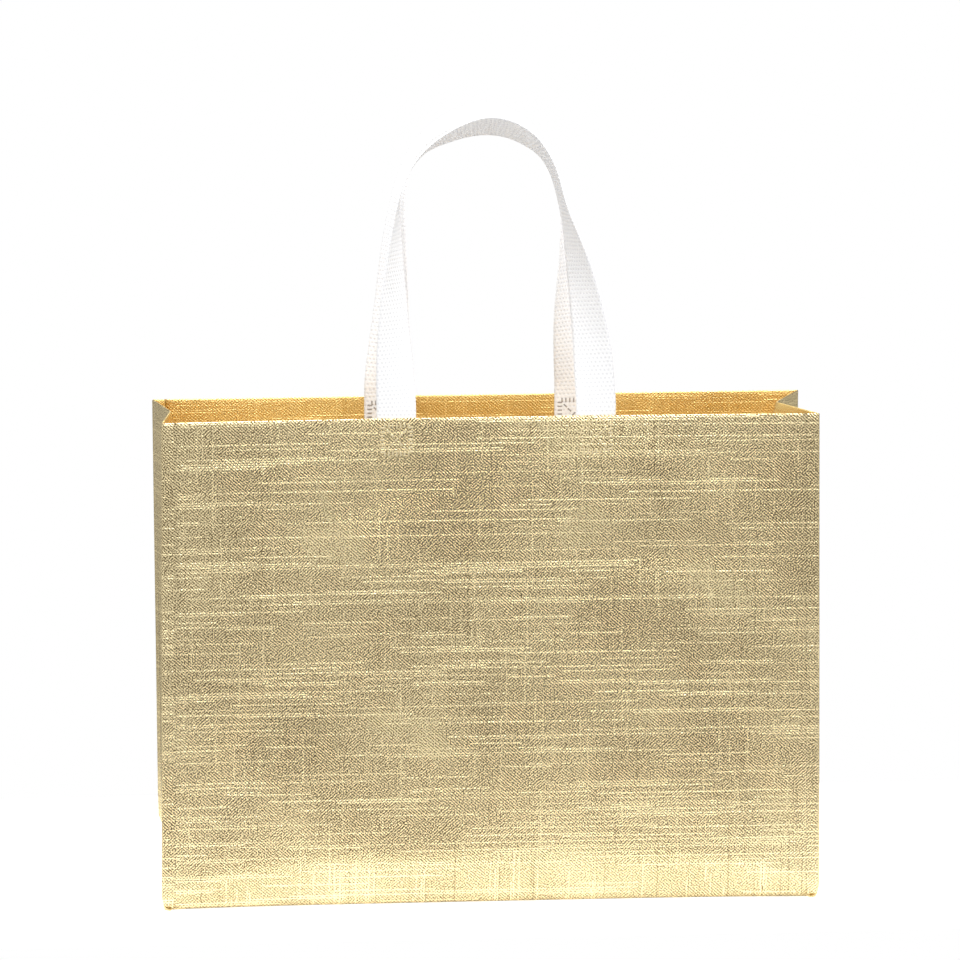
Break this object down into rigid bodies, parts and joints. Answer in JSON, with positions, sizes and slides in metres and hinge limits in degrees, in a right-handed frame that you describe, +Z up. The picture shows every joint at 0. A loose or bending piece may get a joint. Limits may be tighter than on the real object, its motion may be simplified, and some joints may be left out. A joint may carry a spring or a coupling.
{
  "type": "gift bag",
  "caption": "Open-topped gift bag with tucked side gussets, a folding floor and two twisted strap handles welded inside the rim.",
  "frame": {"origin": "on the floor, under the middle of the bag", "axes": "+Z up to the handles, +X along the width, the front panel faces -Y"},
  "size_m": [0.4008, 0.118, 0.484],
  "materials": {
    "gold_sheet": "metallised gold film with an embossed linen grain, laminated on non-woven sheet",
    "gold_hem": "the same gold film, turned in at the rim",
    "strap": "white non-woven webbing with a fine dotted emboss",
    "weld": "strap fibres pressed clear by an ultrasonic weld"
  },
  "bodies": {
    "front": {"front_panel": "gold_sheet", "front_hem": "gold_hem", "front_handle_end_left": "strap", "front_handle_end_right": "strap", "front_weld_left": "weld", "front_weld_right": "weld", "left_front_gore": "gold_sheet", "right_front_gore": "gold_sheet"},
    "back": {"back_panel": "gold_sheet", "back_hem": "gold_hem", "side_seam": "gold_sheet", "back_handle_end_left": "strap", "back_handle_end_right": "strap", "back_weld_left": "weld", "back_weld_right": "weld", "left_back_gore": "gold_sheet", "right_back_gore": "gold_sheet"},
    "left_gusset_front": {"left_front_gusset": "gold_sheet", "left_front_gusset_hem": "gold_hem"},
    "left_gusset_back": {"left_back_gusset": "gold_sheet", "left_back_gusset_hem": "gold_hem"},
    "right_gusset_front": {"right_front_gusset": "gold_sheet", "right_front_gusset_hem": "gold_hem"},
    "right_gusset_back": {"right_back_gusset": "gold_sheet", "right_back_gusset_hem": "gold_hem"},
    "front_floor": {"floor_front": "gold_sheet"},
    "back_floor": {"floor_back": "gold_sheet"},
    "front_handle": {"front_handle_loop": "strap"},
    "back_handle": {"back_handle_loop": "strap"}
  },
  "joints": [
    {"name": "bag_fold", "type": "hinge", "parent": "front", "child": "left_gusset_front", "pos_m": [-0.2, -0.048, 0.15], "axis": [0, 0, -1], "range_deg": [0, 58.67], "deforming": ["left_front_gore", "left_back_gore", "right_front_gore", "right_back_gore"]},
    {"name": "left_gusset_crease", "type": "hinge", "parent": "left_gusset_front", "child": "left_gusset_back", "pos_m": [-0.186, 0, 0.15], "axis": [0, 0, 1], "range_deg": [0, 117.34]},
    {"name": "left_back_corner", "type": "hinge", "parent": "left_gusset_back", "child": "back", "pos_m": [-0.2, 0.048, 0.15], "axis": [0, 0, -1], "range_deg": [0, 58.67]},
    {"name": "right_front_corner", "type": "hinge", "parent": "front", "child": "right_gusset_front", "pos_m": [0.2, -0.048, 0.15], "axis": [0, 0, 1], "range_deg": [0, 58.67]},
    {"name": "right_gusset_crease", "type": "hinge", "parent": "right_gusset_front", "child": "right_gusset_back", "pos_m": [0.186, 0, 0.15], "axis": [0, 0, -1], "range_deg": [0, 117.34]},
    {"name": "front_floor_edge", "type": "hinge", "parent": "front", "child": "front_floor", "pos_m": [0, -0.048, 0.0005], "axis": [1, 0, 0], "range_deg": [0, 58.67]},
    {"name": "back_floor_edge", "type": "hinge", "parent": "back", "child": "back_floor", "pos_m": [0, 0.048, 0.0005], "axis": [-1, 0, 0], "range_deg": [0, 58.67]},
    {"name": "front_handle_swing", "type": "hinge", "parent": "front", "child": "front_handle", "pos_m": [0, -0.048, 0.302], "axis": [1, 0, 0], "range_deg": [0, 165]},
    {"name": "back_handle_swing", "type": "hinge", "parent": "back", "child": "back_handle", "pos_m": [0, 0.048, 0.302], "axis": [-1, 0, 0], "range_deg": [0, 165]}
  ],
  "couplings": [
    {"joint": "left_gusset_crease", "follows": "bag_fold", "ratio": 2},
    {"joint": "left_back_corner", "follows": "bag_fold", "ratio": 1},
    {"joint": "right_front_corner", "follows": "bag_fold", "ratio": 1},
    {"joint": "right_gusset_crease", "follows": "bag_fold", "ratio": 2},
    {"joint": "front_floor_edge", "follows": "bag_fold", "ratio": 1},
    {"joint": "back_floor_edge", "follows": "bag_fold", "ratio": 1}
  ]
}
